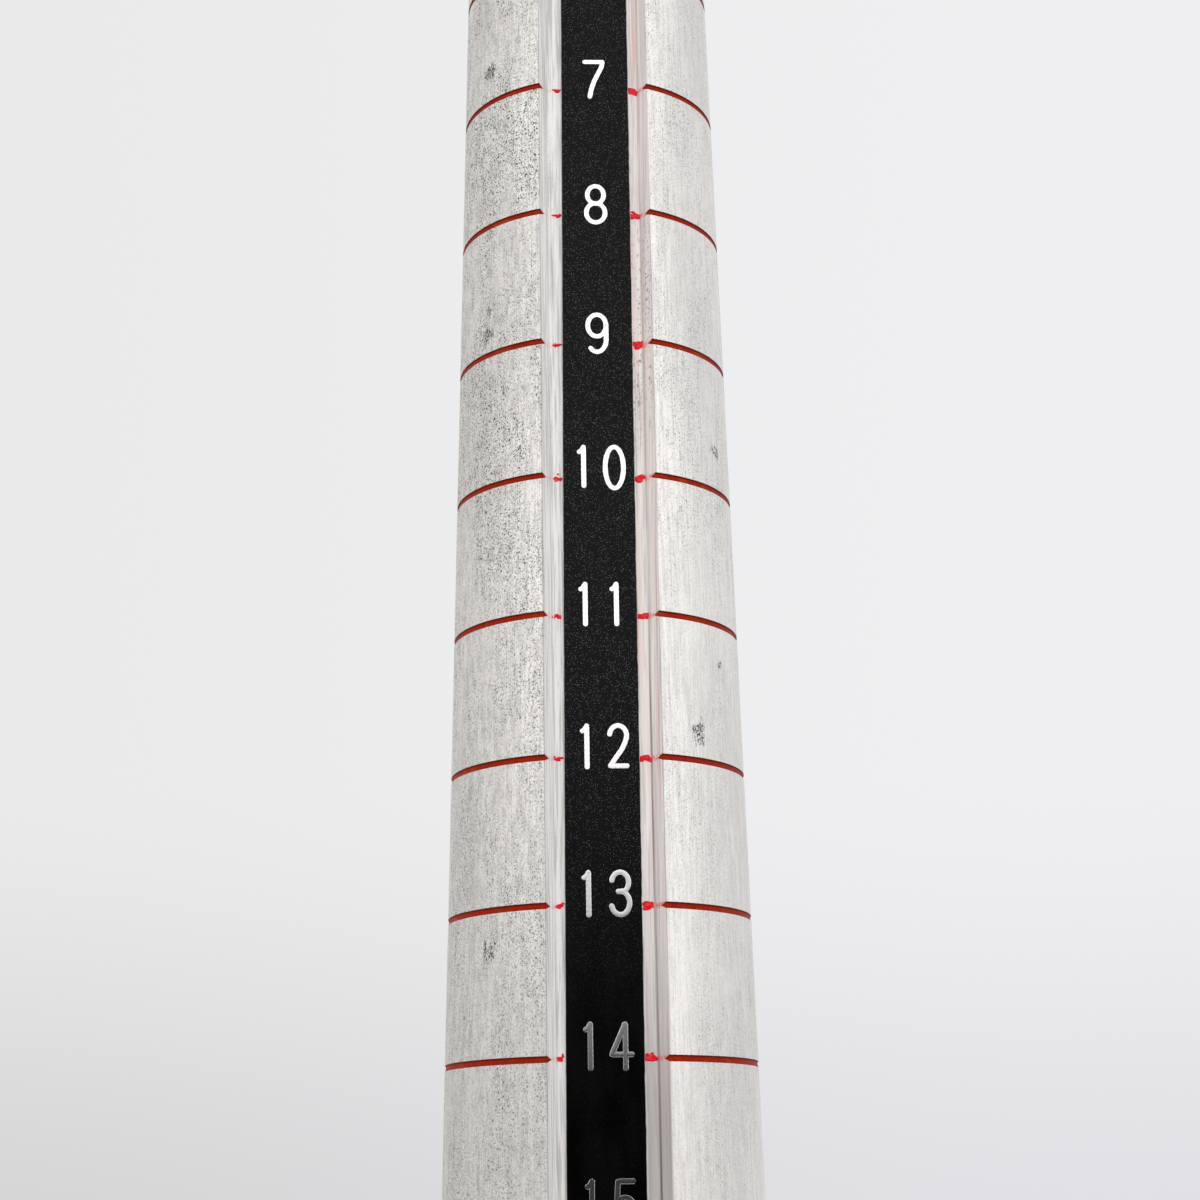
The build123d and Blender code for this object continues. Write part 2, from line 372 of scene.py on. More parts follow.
streaks = grain(tree, place, (11000, 11000, 150), detail=3)
wide_streaks = grain(tree, place, (2400, 2400, 22), detail=2, seed=3)
rubbing = grain(tree, place, (14000, 14000, 8000), detail=3, seed=2)
patches = grain(tree, place, (2600, 2600, 900), detail=3, seed=17)
fine_pits = grain(tree, place, (13000, 13000, 9000), detail=2, seed=5)
coarse_pits = grain(tree, place, (7000, 7000, 4500), detail=3, seed=8)
leaning = slanted_grain(tree, place, (0.9 * MM, 0.9 * MM, 0.05 * MM), 0.55)
level_marks = slanted_grain(tree, place, (0.7 * MM, 0.7 * MM, 0.045 * MM), -0.30)
clusters = grain(tree, place, (420, 420, 130), detail=3, seed=11)
clouds = grain(tree, place, (230, 230, 60), detail=2, seed=14)
print("grains:", len(tree.nodes), "nodes")

# %% [markdown]
# The pits are wherever one of these grains rises past a threshold, or where a cell of a
# Voronoi pattern holds a dot. A wide, slow grain varies how many there are, so they come
# in clusters, as real dirt does.

# %% Pits and scratches
pit_amount = combine(tree, "ADD", between(tree, clusters, 0.36, 0.64, 0.20, 0.80),
                     between(tree, patches, 0.50, 0.70, 0.0, 0.20))
scratches = combine(tree, "MAXIMUM", leaning, level_marks)
pits = combine(tree, "MAXIMUM", between(tree, fine_pits, 0.54, 0.74),
               between(tree, coarse_pits, 0.62, 0.76),
               dots(tree, place, 0.11 * MM, 0.42, 0.35),
               dots(tree, place, 0.26 * MM, 0.28, 0.35),
               between(tree, scratches, 0.665, 0.76))
pits = combine(tree, "MULTIPLY", pits, combine(tree, "MULTIPLY", pit_amount, handled_end))
print("pits:", len(tree.nodes), "nodes")

# %% [markdown]
# The larger smudges are where oil and dust were rubbed into the pits. Each is a soft spot
# round a place on the surface, broken up by the grain so that its outline is uneven. Some
# dust has also stuck in the right side of the slot, near size 9.

# %% Smudges and dust
SMUDGES = [
    ((-6.2, -4.8, 277.2), (0.8, 1.2, 0.9)),
    ((-6.0, -4.9, 278.6), (0.4, 0.9, 0.9)),
    ((-6.0, -4.6, 294.0), (1.1, 1.3, 1.2)),
    ((-7.2, -3.4, 269.0), (0.8, 1.2, 1.0)),
    ((6.8, -4.1, 270.4), (0.6, 1.0, 0.9)),
    ((6.7, -4.7, 257.7), (0.4, 0.6, 0.4)),
    ((5.3, -6.4, 253.6), (0.8, 1.0, 1.5)),
    ((-6.2, -6.0, 241.9), (1.2, 1.2, 1.2)),
]


def smudge(tree, place, middle, reach):
    """1 at a middle, fading to 0 at a reach along each axis, both in millimetres."""
    offset = add_node(tree, "ShaderNodeVectorMath", {0: place, 1: [m * MM for m in middle]},
                      operation="SUBTRACT").outputs["Vector"]
    shares = add_node(tree, "ShaderNodeVectorMath", {0: offset, 1: [1 / (r * MM) for r in reach]},
                      operation="MULTIPLY").outputs["Vector"]
    length = add_node(tree, "ShaderNodeVectorMath", {0: shares}, operation="LENGTH")
    return between(tree, length.outputs["Value"], 0.0, 1.0, 1.0, 0.0)


handled = combine(tree, "MAXIMUM", *[smudge(tree, place, *spot) for spot in SMUDGES])
handled = combine(tree, "SUBTRACT", handled, between(tree, patches, 0.40, 0.60, 0.55, 0.05))
handled = combine(tree, "MULTIPLY", handled, between(tree, rubbing, 0.44, 0.58, 0.10, 1.0))
pits = combine(tree, "MAXIMUM", pits, between(tree, handled, 0.0, 0.6, 0.0, 0.95))
pits = combine(tree, "MULTIPLY", pits, combine(tree, "MAXIMUM", outside, 0.15))
dust = combine(tree, "MULTIPLY", up_the_scale(tree, up_rod, 10, 9.2, 0.0, 1.0),
               up_the_scale(tree, up_rod, 8.6, 7.6, 1.0, 0.0), right_side,
               between(tree, coarse_pits, 0.54, 0.64))
pits = combine(tree, "MAXIMUM", pits, combine(tree, "MULTIPLY", dust, 0.7))
print("smudges:", len(SMUDGES))

# %% [markdown]
# The colour starts as bright metal, and each grain mixes in some of the dull metal, as
# does painted shade lower down. The slot has its own pair of colours, and the two looks
# meet at the edge, where a thin line of painted shade lies.

# %% Colours of the metal
PIT_GREY = (0.06, 0.06, 0.062, 1)
SLOT_METAL = (0.97, 0.965, 0.96, 1)
EDGE_SHADOW = (0.30, 0.28, 0.27, 1)
worn = combine(tree, "MULTIPLY", between(tree, rubbing, 0.46, 0.66, 0.0, 0.60), handled_side)
patchy = combine(tree, "MULTIPLY", between(tree, patches, 0.42, 0.64, 0.0, 0.32), handled_side)
outside_colour = BRIGHT_METAL
for amount in (worn, patchy, between(tree, streaks, 0.42, 0.66, 0.0, 0.22),
               between(tree, clouds, 0.35, 0.65, 0.0, 0.18), painted_low_shade):
    outside_colour = blend_colours(tree, amount, outside_colour, DULL_METAL)
slot_colour = SLOT_METAL
for amount in (between(tree, streaks, 0.46, 0.62, 0.0, 0.55),
               between(tree, wide_streaks, 0.54, 0.66, 0.0, 0.35)):
    slot_colour = blend_colours(tree, amount, slot_colour, DULL_METAL)
colour = blend_colours(tree, in_slot, outside_colour, slot_colour)
colour = blend_colours(tree, pits, colour, PIT_GREY)
# painted shade: a thin dark line along both edges of the slot
colour = blend_colours(tree, between(tree, on_edge, 0.70, 1.0, 0.0, 0.65), colour, EDGE_SHADOW)
print("metal colours:", len(tree.nodes), "nodes")

# %% [markdown]
# The red paint was wiped into the lines and a little of it never came off. It shows as a
# pink film on the right side of the slot, strongest as thin runs along the length, and as
# a smear level with each line. Both corners of the slot's floor get a thin line of painted
# shade, and the right side of the slot is painted duller lower down as shade.

# %% Pink film, painted shade and smears in the slot
PINK_FILM = (0.98, 0.84, 0.81, 1)
RED_RUNS = (0.62, 0.22, 0.19, 1)
CORNER_SHADE = (0.17, 0.11, 0.10, 1)
SMEARED_PAINT = (0.85, 0.12, 0.14, 1)
SMEAR_RISE = 0.04 * MM
runs = grain(tree, place, (5200, 900, 90), detail=2, seed=21)
film = combine(tree, "MULTIPLY", between(tree, runs, 0.40, 0.62, 0.15, 0.85), right_side)
colour = blend_colours(tree, film, colour, PINK_FILM)
thin_runs = between(tree, grain(tree, place, (6500, 900, 60), detail=1, seed=27), 0.62, 0.70)
thin_runs = combine(tree, "MULTIPLY", thin_runs, right_side, 0.45)
colour = blend_colours(tree, thin_runs, colour, RED_RUNS)
from_corner = distance(tree, distance(tree, across_rod, 0.0), SLOT_FLOOR_HALF)
# painted shade: a thin dark line in both corners of the slot's floor, strongest lower down
painted_corner_shade = combine(tree, "MULTIPLY", between(tree, from_corner, 0.02 * MM, 0.10 * MM, 1.0, 0.0),
                      between(tree, runs, 0.35, 0.65, 0.35, 0.95),
                      up_the_scale(tree, up_rod, 12.5, 10, 1.0, 0.4),
                      combine(tree, "MAXIMUM", right_side, 0.2), in_slot)
colour = blend_colours(tree, painted_slot_shade, colour, DULL_METAL)
colour = blend_colours(tree, painted_corner_shade, colour, CORNER_SHADE)
above_last = combine(tree, "SUBTRACT", up_rod, LAST_LINE_Z + SMEAR_RISE)
from_line = add_node(tree, "ShaderNodeMath",
                     {0: above_last, 1: SIZE_STEP / 2, 2: -SIZE_STEP / 2},
                     operation="WRAP").outputs["Value"]
near_line = between(tree, distance(tree, from_line, 0.0), 0.04 * MM, 0.22 * MM, 0.8, 0.0)
smear = combine(tree, "MULTIPLY", near_line, between(tree, coarse_pits, 0.36, 0.58),
                combine(tree, "MAXIMUM", right_side, combine(tree, "MULTIPLY", in_slot, 0.25)))
colour = blend_colours(tree, smear, colour, SMEARED_PAINT)
tree.links.new(colour, shader.inputs["Base Color"])
print("film and dirt:", len(tree.nodes), "nodes")

# %% [markdown]
# Dirt scatters light, so a pit is rougher than the metal round it, and it lies a little
# lower. The slot is made less metallic, because its film and fine rulings look paler and
# softer than a clean mirror of the room would.

# %% Roughness and relief of the metal
METAL_RELIEF = 0.010 * MM
roughness = combine(tree, "ADD", between(tree, streaks, 0.3, 0.7, 0.46, 0.58),
                    combine(tree, "MULTIPLY", pits, 0.2))
tree.links.new(roughness, shader.inputs["Roughness"])
tree.links.new(between(tree, in_slot, 0.0, 1.0, 0.85, 0.25), shader.inputs["Metallic"])
texture = combine(tree, "SUBTRACT", streaks, combine(tree, "MULTIPLY", pits, 0.8))
relief(tree, shader, texture, METAL_RELIEF)
print("aluminium finish:", len(tree.nodes), "nodes")

# %% [markdown]
# ## The rod
#
# The rod is one turned and milled piece. In any section across it, the outline is a
# round back, two sloping walls and a flat floor, so it can be written down exactly: the
# round part meets a wall where a point on the wall is as far from the axis as the
# radius. Each size line is a V turned into the round part, which makes the radius less
# for a moment and leaves a pointed end on each wall. A boolean cut would do this too,
# but a worked-out grid keeps every facet small and even where light rakes over it.

# %% The outline across the rod
NOTCH_DEPTH = 0.45 * MM
NOTCH_HALF = 0.16 * MM
EDGE_ROUND = 0.07 * MM
ARC_POINTS = 132
WALL_POINTS = 7
FLOOR_POINTS = 20


def wall_height(radius, floor):
    """Height on the wall, above the floor, at which the wall is a radius from the axis.

    A point at height t is at x = half + slope t and floor + t from the axis, so t solves
    (floor + t)^2 + (half + slope t)^2 = radius^2.
    """
    a = 1 + SLOT_WALL_SLOPE**2
    b = floor + SLOT_WALL_SLOPE * SLOT_FLOOR_HALF
    c = floor**2 + SLOT_FLOOR_HALF**2 - radius**2
    return (np.sqrt(b * b - a * c) - b) / a


def edge_angle(radius, floor):
    """Angle from the -Y direction to the slot's edge, seen from the axis."""
    t = wall_height(radius, floor)
    return np.arctan2(SLOT_FLOOR_HALF + SLOT_WALL_SLOPE * t, floor + t)


def outline(radius, floor):
    """Points round the rod, from the floor's left corner, for each radius and floor."""
    radius = radius[:, None]
    floor = floor[:, None]
    t = wall_height(radius, floor)
    slant = math.hypot(1, SLOT_WALL_SLOPE)
    flat_top = t - EDGE_ROUND / slant
    along = np.linspace(0, 1, WALL_POINTS)[None, :]
    wall_x = SLOT_FLOOR_HALF + SLOT_WALL_SLOPE * flat_top * along
    wall_y = -(floor + flat_top * along)
    corner_x = SLOT_FLOOR_HALF + SLOT_WALL_SLOPE * t
    corner_y = -(floor + t)
    start = edge_angle(radius, floor) + EDGE_ROUND / radius
    share = np.linspace(0, 1, ARC_POINTS)[None, :]
    angle = start + share * (2 * math.pi - 2 * start)
    arc_x = radius * np.sin(angle)
    arc_y = -radius * np.cos(angle)
    u = np.array([[0.3, 0.6]])
    round_x = (1 - u)**2 * wall_x[:, -1:] + 2 * u * (1 - u) * corner_x + u**2 * arc_x[:, :1]
    round_y = (1 - u)**2 * wall_y[:, -1:] + 2 * u * (1 - u) * corner_y + u**2 * arc_y[:, :1]
    floor_x = np.linspace(-SLOT_FLOOR_HALF, SLOT_FLOOR_HALF, FLOOR_POINTS + 2)[None, 1:-1]
    floor_x = floor_x + 0 * radius
    floor_y = -floor + 0 * floor_x
    right_x = np.concatenate([wall_x, round_x], axis=1)
    right_y = np.concatenate([wall_y, round_y], axis=1)
    x = np.concatenate([floor_x, right_x, arc_x, -right_x[:, ::-1]], axis=1)
    y = np.concatenate([floor_y, right_y, arc_y, right_y[:, ::-1]], axis=1)
    return x, y


slot_share = np.concatenate([np.ones(FLOOR_POINTS + WALL_POINTS), [0.6, 0.3],
                             np.zeros(ARC_POINTS), [0.3, 0.6], np.ones(WALL_POINTS)])
edge_share = np.concatenate([np.zeros(FLOOR_POINTS + WALL_POINTS - 1), [0.6, 1, 1, 0.6],
                             np.zeros(ARC_POINTS - 2), [0.6, 1, 1, 0.6],
                             np.zeros(WALL_POINTS - 1)])
print("points in one outline:", len(slot_share))

# %% [markdown]
# Along the rod the rings stand close together at each line and far apart between, where
# the taper is straight. The tip has a small chamfer and the hollow that the lathe's
# centre left. Below the base, the rod goes on as a tang inside the handle.

# %% Carry the outline along the rod
TIP_CHAMFER = 0.8 * MM
BASE_CHAMFER = 0.3 * MM
CENTRE_HOLE = (1.6 * MM, 2.4 * MM)
TANG_RADIUS = 6.0 * MM
TANG_FLAT = 5.0 * MM
TANG_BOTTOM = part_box("mandrel_rod")[0].z
SCREW_HOLE = (2.53 * MM, 22 * MM)

notch_steps = np.array([-2.2, -1.1, -1, -0.5, 0, 0.5, 1, 1.1, 2.2])
notch_cut = np.array([0, 0, 0.04, 0.52, 1, 0.52, 0.04, 0, 0])
heights = [np.array([BASE_Z, BASE_Z + BASE_CHAMFER, BASE_Z + 3 * MM])]
cuts = [np.array([BASE_CHAMFER, 0, 0])]
for size in range(SIZE_COUNT, 0, -1):
    heights.append(line_z(size) + notch_steps * NOTCH_HALF)
    cuts.append(notch_cut * NOTCH_DEPTH)
    heights.append(line_z(size) + np.array([0.25, 0.5, 0.75]) * SIZE_STEP)
    cuts.append(np.zeros(3))
heights.append(np.array([TIP_Z - TIP_CHAMFER, TIP_Z]))
cuts.append(np.array([0, TIP_CHAMFER]))
heights = np.concatenate(heights)
cuts = np.concatenate(cuts)
radii = taper_radius(heights)
body_x, body_y = outline(radii - cuts, radii - SLOT_DEPTH)
body_rings = np.stack([body_x, body_y, heights[:, None] + 0 * body_x], axis=-1)
print("rings along the taper:", len(body_rings))

# %% [markdown]
# Past each end of the taper the outline shrinks to a circle, by shares of the way, so the
# grid stays whole: the lathe's centre hole at the tip, and the tang with its flat and its
# screw hole at the base.

# %% Close the rod's ends


def drawn_in(ring, target_radius, shares, z_values, flat=None):
    """Rings that go from a ring of points to a circle, by shares of the way, at heights."""
    angle = np.arctan2(ring[:, 1], ring[:, 0])
    circle_x = target_radius * np.cos(angle)
    circle_y = target_radius * np.sin(angle)
    if flat is not None:
        circle_y = np.minimum(circle_y, flat)
    rings = []
    for share, z in zip(shares, z_values):
        rings.append(np.stack([(1 - share) * ring[:, 0] + share * circle_x,
                               (1 - share) * ring[:, 1] + share * circle_y,
                               np.full(len(angle), z)], axis=-1))
    return rings


hole_radius, hole_depth = CENTRE_HOLE
tip_rings = drawn_in(body_rings[-1], hole_radius, [0.34, 0.67, 1], [TIP_Z] * 3)
tip_rings += drawn_in(tip_rings[-1], 0.25 * hole_radius, [1], [TIP_Z - 0.75 * hole_depth])
bottom = drawn_in(body_rings[0], TANG_RADIUS, [0.5, 1], [BASE_Z] * 2, TANG_FLAT)
tang = drawn_in(bottom[-1], TANG_RADIUS, [1, 1], [BASE_Z - 0.2 * MM, TANG_BOTTOM], TANG_FLAT)
screw_hole, screw_depth = SCREW_HOLE
hole = drawn_in(tang[-1], screw_hole, [1, 1], [TANG_BOTTOM, TANG_BOTTOM + screw_depth])
rod_rings = np.stack((bottom + tang + hole)[::-1] + list(body_rings) + tip_rings)
below = len(bottom + tang + hole)
slot_values = np.tile(slot_share, (len(rod_rings), 1))
edge_values = np.tile(edge_share, (len(rod_rings), 1))
ring_number = np.arange(len(rod_rings))[:, None]
is_side = (ring_number >= below) & (ring_number < below + len(body_rings))
build_piece(
    "rod", [rod_rings], aluminium, ["mandrel_rod"],
    {"in_slot": [slot_values * is_side], "on_edge": [edge_values * is_side]}, sharp=28)

# %% [markdown]
# ## Red paint in the lines
#
# Paint was brushed over each turned line and wiped off, so it is left only inside the V,
# a little below the metal and dished by the wiping. Its upper edge is darkened with
# painted shade. A coat that is a solid of its own, not just a colour, ends in the same
# pointed tips on the slot's walls as the notch does.

# %% Paint finish
PAINT_RED = (0.38, 0.013, 0.0006, 1)
PAINT_DARK = (0.24, 0.014, 0.001, 1)
PAINT_ORANGE = (0.40, 0.060, 0.006, 1)
PAINT_EDGE_SHADE = (0.10, 0.006, 0.001, 1)
line_paint, tree, shader, place = new_finish(
    "red_line_paint", {"Base Color": (0.26, 0.008, 0.002, 1), "Roughness": 0.5,
                       "Specular IOR Level": 0.06})
across = attribute(tree, "across")
mottle = grain(tree, place, (5200, 5200, 5200), detail=3)
thin_coat = grain(tree, place, (900, 900, 900), detail=2, seed=4)
paint_colour = blend_colours(tree, between(tree, mottle, 0.35, 0.65), PAINT_RED, PAINT_DARK)
paint_colour = blend_colours(tree, between(tree, thin_coat, 0.55, 0.70, 0, 0.5), paint_colour,
                             PAINT_ORANGE)
# painted shade along the upper edge of each line's paint
paint_colour = blend_colours(tree, between(tree, across, 0.55, 0.95), paint_colour, PAINT_EDGE_SHADE)
tree.links.new(paint_colour, shader.inputs["Base Color"])
relief(tree, shader, mottle, 0.01 * MM)
print("paint finish:", len(tree.nodes), "nodes")

# %% [markdown]
# The coat's section is a list of corners: how far each is from the line's middle, as a
# share of the notch's half width, how deep it is in millimetres, and how far it is across
# the coat, which the finish reads to place the painted shade.

# %% The paint in each notch
PAINT_COLUMNS = 130
paint_sides = [(-1.12, -0.001, 0.0), (-0.72, 0.030, 0.15), (-0.2, 0.050, 0.4),
               (0.35, 0.060, 0.65), (0.80, 0.045, 0.9), (1.12, -0.001, 1.0),
               (0.0, 0.46, 0.5)]
paint_across = np.array([side[2] for side in paint_sides])
paint_stacks = []
paint_values = []
for size in range(1, SIZE_COUNT + 1):
    z = float(line_z(size))
    rings = []
    for offset, depth, _ in paint_sides:
        height = z + offset * NOTCH_HALF
        radius = np.array([taper_radius(height) - depth * MM])
        start = edge_angle(radius, taper_radius(height) - SLOT_DEPTH)
        angle = start + np.linspace(0, 1, PAINT_COLUMNS) * (2 * math.pi - 2 * start)
        rings.append(np.stack([radius * np.sin(angle), -radius * np.cos(angle),
                               np.full(PAINT_COLUMNS, height)], axis=-1))
    sweep = np.stack(rings, axis=1)
    paint_stacks.append(sweep)
    paint_values.append(np.tile(paint_across, (PAINT_COLUMNS, 1)))
build_piece("line_paint", paint_stacks, line_paint, ["scale_line_paint"],
            {"across": paint_values}, sharp=50)

# %% [markdown]
# ## The number strip
#
# The strip is black anodised aluminium about as thick as card. It was sheared to width,
# so its edges are bare bright metal and a little uneven, and its face has the fine orange
# peel of the anodising, with painted glints scattered over it that fade out lower down.
# It was laid in the slot by hand and bows slightly, so its two edges are curves through
# where they lie at a few sizes.

# %% Strip finish
GLINT_CELL = 0.062 * MM
DEEP_BLACK = (0.0006, 0.0006, 0.0007, 1)
RUBBED_BLACK = (0.0014, 0.0014, 0.0016, 1)
GLINT_GREY = (0.13, 0.13, 0.135, 1)
BARE_EDGE = (0.86, 0.85, 0.84, 1)
strip_black, tree, shader, place = new_finish(
    "black_anodised", {"Base Color": (0.002, 0.002, 0.0022, 1), "Roughness": 0.2,
                       "Specular IOR Level": 0.12})
sheared = attribute(tree, "sheared")
peel = grain(tree, place, (13000, 13000, 13000), detail=2)
# painted glints: light dots in the black, fading out towards size 14
painted_glints = combine(tree, "MULTIPLY", dots(tree, place, GLINT_CELL, 0.42, 0.28),
                 up_the_scale(tree, split_axes(tree, place)["Z"], 13.9, 11.6, 0.05, 1.0))
rubbed = grain(tree, place, (700, 700, 260), detail=3, seed=9)
black = blend_colours(tree, between(tree, rubbed, 0.35, 0.75), DEEP_BLACK, RUBBED_BLACK)
black = blend_colours(tree, painted_glints, black, GLINT_GREY)
black = blend_colours(tree, sheared, black, BARE_EDGE)
tree.links.new(black, shader.inputs["Base Color"])
tree.links.new(sheared, shader.inputs["Metallic"])
tree.links.new(between(tree, rubbed, 0.3, 0.7, 0.14, 0.20), shader.inputs["Roughness"])
relief(tree, shader, peel, 0.001 * MM)
print("strip finish:", len(tree.nodes), "nodes")

# %% [markdown]
# An edge is given by its x at a few sizes, averaged over a short run so that it bends
# smoothly, and a sum of small waves makes it ragged. The section goes once round the
# strip: each corner follows an edge, moved inwards and lifted off the slot's floor.

# %% Edges of the strip
ADHESIVE = 0.08 * MM
STRIP_THICKNESS = 0.25 * MM
STRIP_GAP = 1.0 * MM
EDGE_SIZES = [0, 6, 10, 15, 22, 31]
LEFT_EDGE = np.array([-1.78, -1.78, -2.01, -2.27, -2.40, -2.40]) * MM
RIGHT_EDGE = np.array([2.11, 2.11, 2.03, 1.92, 1.95, 1.95]) * MM
STRIP_ROWS = 560
STRIP_BEVEL = 0.03 * MM
STRIP_TOP = ADHESIVE + STRIP_THICKNESS


def smooth_edge(z, edge):
    """An edge's x at a height: straight runs between the given sizes, averaged over 20 mm."""
    sizes = SIZE_COUNT - (np.asarray(z) - LAST_LINE_Z) / SIZE_STEP
    spread = np.linspace(-1.25, 1.25, 9)
    return np.mean([np.interp(sizes + step, EDGE_SIZES, edge) for step in spread], axis=0)


def ragged(z, seed, size):
    """A small repeatable wander made of a few waves with unrelated lengths."""
    waves = [(0.83, 0.30), (0.31, 0.35), (1.9, 0.35), (0.17, 0.25), (4.7, 0.5)]
    total = 0 * z
    for index, (length, share) in enumerate(waves):
        total = total + share * np.sin(2 * math.pi * z / (length * MM) + seed + 2.1 * index)
    return size * total


def on_floor(x, z, lift):
    """A point on the slot's floor, lifted off it along -Y by a height."""
    y = -(taper_radius(z) - SLOT_DEPTH + lift) + 0 * x
    return np.stack([x, y, z + 0 * x], axis=-1)


print("strip from", BASE_Z + STRIP_GAP, "to", TIP_Z - STRIP_GAP)

# %% Carry the section along the strip
strip_z = np.linspace(BASE_Z + STRIP_GAP, TIP_Z - STRIP_GAP, STRIP_ROWS)
left = smooth_edge(strip_z, LEFT_EDGE) + ragged(strip_z, 0.4, 0.006 * MM)
right = smooth_edge(strip_z, RIGHT_EDGE) + ragged(strip_z, 2.9, 0.013 * MM)
middle_x = (left + right) / 2
section = [(left, 0, ADHESIVE, 1), (right, 0, ADHESIVE, 1),
           (right, 0, STRIP_TOP - STRIP_BEVEL, 1), (right, -STRIP_BEVEL, STRIP_TOP, 0),
           (right, -4 * STRIP_BEVEL, STRIP_TOP, 0), (middle_x, 0, STRIP_TOP, 0),
           (left, 4 * STRIP_BEVEL, STRIP_TOP, 0), (left, STRIP_BEVEL, STRIP_TOP, 0),
           (left, 0, STRIP_TOP - STRIP_BEVEL, 1)]
columns = []
for edge, inset, lift, _ in section:
    columns.append(on_floor(edge + inset, strip_z, lift))
strip_rings = np.stack(columns, axis=1)
strip_sheared = np.tile(np.array([part[3] for part in section], float), (STRIP_ROWS, 1))
build_piece("black_strip", [strip_rings], strip_black,
            ["number_strip"], {"sheared": [strip_sheared]}, sharp=40)

# %% [markdown]
# ## The numerals
#
# Each numeral was cut through the black by a round-nosed engraving point that followed a
# template, which is why all strokes are one width and end in half circles. A font would
# have the wrong shapes, so each digit is written as the path of that point, from arcs
# and straight lines, in millimetres from the digit's middle and from its size line.

# %% Arcs and lines for a path
HIGH = 1.80
LOW = -0.46
PATH_STEP = 0.06


def arc(x, y, across, up, start, end):
    """Part of an ellipse from one angle to another, in degrees, anticlockwise if it rises."""
    angle = np.radians(np.linspace(start, end, 5 + int(abs(end - start) / 9)))
    return np.stack([x + across * np.cos(angle), y + up * np.sin(angle)], axis=-1)


def through(*points):
    """Straight lines through points, with many small steps for an even stroke."""
    points = np.array(points, float)
    runs = []
    for start, end in zip(points[:-1], points[1:]):
        count = max(2, int(np.hypot(*(end - start)) / PATH_STEP))
        runs.append(start + np.linspace(0, 1, count, endpoint=False)[:, None] * (end - start))
    return np.concatenate(runs + [points[-1:]])


def joined(*parts):
    """Parts of one stroke, end to end."""
    return np.concatenate(parts)


print("numerals are", HIGH - LOW, "mm high between the middles of their strokes")

# %% Paths of the digits
middle = (HIGH + LOW) / 2
six_loop = arc(0.01, 0.20, 0.52, 0.66, 0, 360)
six_back = joined(through((-0.51, 0.20), (-0.51, 0.99)), arc(0.01, 1.04, 0.52, 0.76, 180, 45))
DIGITS = {
    "0": [arc(0, middle - 0.06, 0.51, 1.215, 90, 450)],
    "1": [through((0, HIGH + 0.02), (0, LOW)),
          through((-0.24, 1.54), (-0.12, 1.61), (0, HIGH))],
    "2": [joined(arc(-0.02, 1.27, 0.46, 0.56, 172, -10),
                 through((0.42, 1.10), (0.34, 0.86), (0.18, 0.52), (-0.22, -0.04),
                         (-0.46, LOW + 0.06))),
          through((-0.46, LOW + 0.06), (0.44, LOW + 0.06))],
    "3": [joined(arc(-0.03, 1.28, 0.45, 0.55, 170, -65), through((0.14, 0.83), (-0.14, 0.78))),
          joined(through((-0.14, 0.80), (0.12, 0.77)), arc(-0.03, 0.18, 0.49, 0.62, 68, -165))],
    "4": [through((0.10, HIGH), (-0.60, 0.24), (0.46, 0.24)),
          through((0.12, HIGH), (0.12, LOW - 0.03))],
    "5": [through((0.42, HIGH), (-0.38, HIGH), (-0.44, 0.80)),
          joined(through((-0.44, 0.80), (-0.26, 0.93)), arc(-0.02, 0.26, 0.50, 0.73, 112, -160))],
    "6": [six_loop, six_back],
    "7": [through((-0.52, HIGH - 0.01), (0.52, HIGH - 0.01)),
          through((0.52, HIGH - 0.01), (0.47, 1.48), (0.36, 1.24), (0.20, 0.92), (0.03, 0.55),
                  (-0.10, 0.18), (-0.18, -0.12), (-0.24, LOW))],
    "8": [arc(0.01, 1.255, 0.47, 0.55, 90, 450), arc(0.01, 0.13, 0.54, 0.60, 90, 450)],
    "9": [(0, HIGH + LOW) - six_loop, (0, HIGH + LOW) - six_back],
}
print("paths:", sum(len(paths) for paths in DIGITS.values()), "for", len(DIGITS), "digits")

# %% [markdown]
# A stroke is a small flat-topped section carried along its path. Where the path starts
# and ends the section narrows along a half circle, which makes the round ends. The bare
# metal of the real cut is modelled as a film that stands a hair above the black, and its
# width wavers a little, as the cutter did.

# %% Strokes from paths
STROKE_HALF = 0.132
NUMERAL_GAP = 0.86
PROFILE = np.array([(-1.0, -0.010), (1.0, -0.010), (1.0, 0.006), (0.93, 0.011), (0.5, 0.012),
                    (0, 0.0122), (-0.5, 0.012), (-0.93, 0.011), (-1.0, 0.006)])
END_TURN = np.radians([82, 60, 40, 20])


